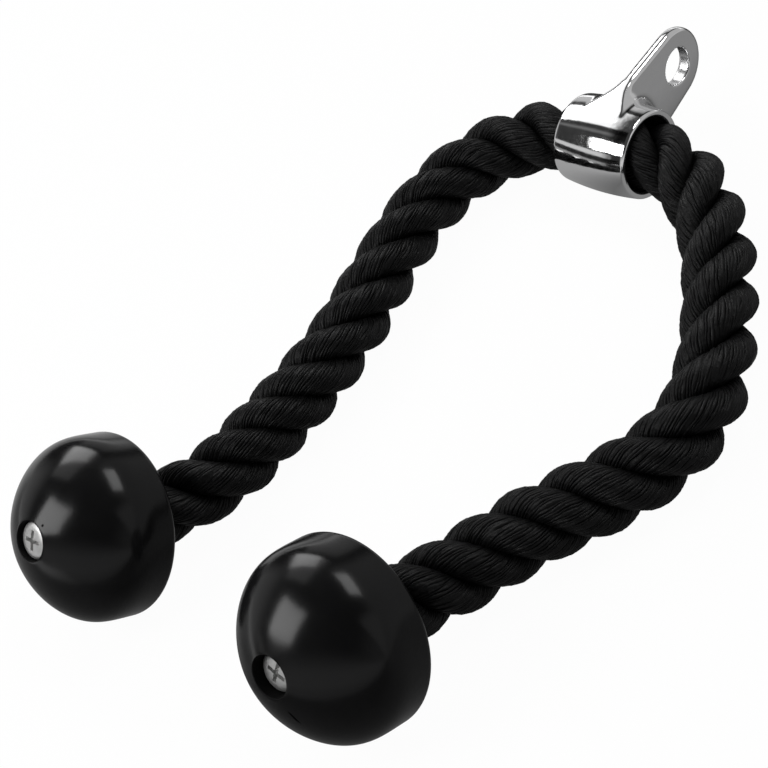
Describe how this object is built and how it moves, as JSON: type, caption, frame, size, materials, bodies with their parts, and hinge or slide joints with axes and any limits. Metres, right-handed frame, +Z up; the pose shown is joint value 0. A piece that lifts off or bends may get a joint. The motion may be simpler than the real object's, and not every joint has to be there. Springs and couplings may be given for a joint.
{
  "type": "triceps rope attachment",
  "caption": "Thick three-strand rope through a chromed collar with a carabiner eye, with screwed dome-shaped rubber stops as hand grips.",
  "frame": {"origin": "on the table that it lies on, under the middle of the box of the hanger and the rubber ends", "axes": "+X along the hanger's barrel towards the right leg, +Y from the rubber ends towards the eye, +Z up"},
  "size_m": [0.2402, 0.362, 0.0739],
  "materials": {
    "chrome": "polished chrome plate",
    "zinc": "zinc-plated steel",
    "rubber": "satin moulded rubber",
    "rope": "laid synthetic yarn",
    "nylon": "plain moulded"
  },
  "bodies": {
    "hanger": {"hanger": "chrome"},
    "rope_middle": {"rope_strand_a_middle": "rope", "rope_strand_b_middle": "rope", "rope_strand_c_middle": "rope"},
    "left_leg": {"rope_strand_a_left_bend": "rope", "rope_strand_b_left_bend": "rope", "rope_strand_c_left_bend": "rope", "rope_strand_a_left_leg": "rope", "rope_strand_b_left_leg": "rope", "rope_strand_c_left_leg": "rope", "left_rubber_end": "rubber", "left_end_screw": "zinc", "left_washer": "zinc", "left_rope_plug": "nylon"},
    "right_leg": {"rope_strand_a_right_bend": "rope", "rope_strand_b_right_bend": "rope", "rope_strand_c_right_bend": "rope", "rope_strand_a_right_leg": "rope", "rope_strand_b_right_leg": "rope", "rope_strand_c_right_leg": "rope", "right_rubber_end": "rubber", "right_end_screw": "zinc", "right_washer": "zinc", "right_rope_plug": "nylon"}
  },
  "joints": [
    {"name": "rope_turn", "type": "hinge", "parent": "hanger", "child": "rope_middle", "pos_m": [0.00628, 0.11727, 0.0206], "axis": [1, 0, 0], "continuous": true},
    {"name": "left_swing", "type": "hinge", "parent": "rope_middle", "child": "left_leg", "pos_m": [-0.04608, 0.10966, 0.0206], "axis": [0, 0, -1], "range_deg": [-6, 85], "deforming": ["rope_strand_a_left_bend", "rope_strand_b_left_bend", "rope_strand_c_left_bend"]},
    {"name": "right_swing", "type": "hinge", "parent": "rope_middle", "child": "right_leg", "pos_m": [0.05063, 0.11283, 0.0206], "axis": [0, 0, 1], "range_deg": [-6, 50], "deforming": ["rope_strand_a_right_bend", "rope_strand_b_right_bend", "rope_strand_c_right_bend"]}
  ]
}
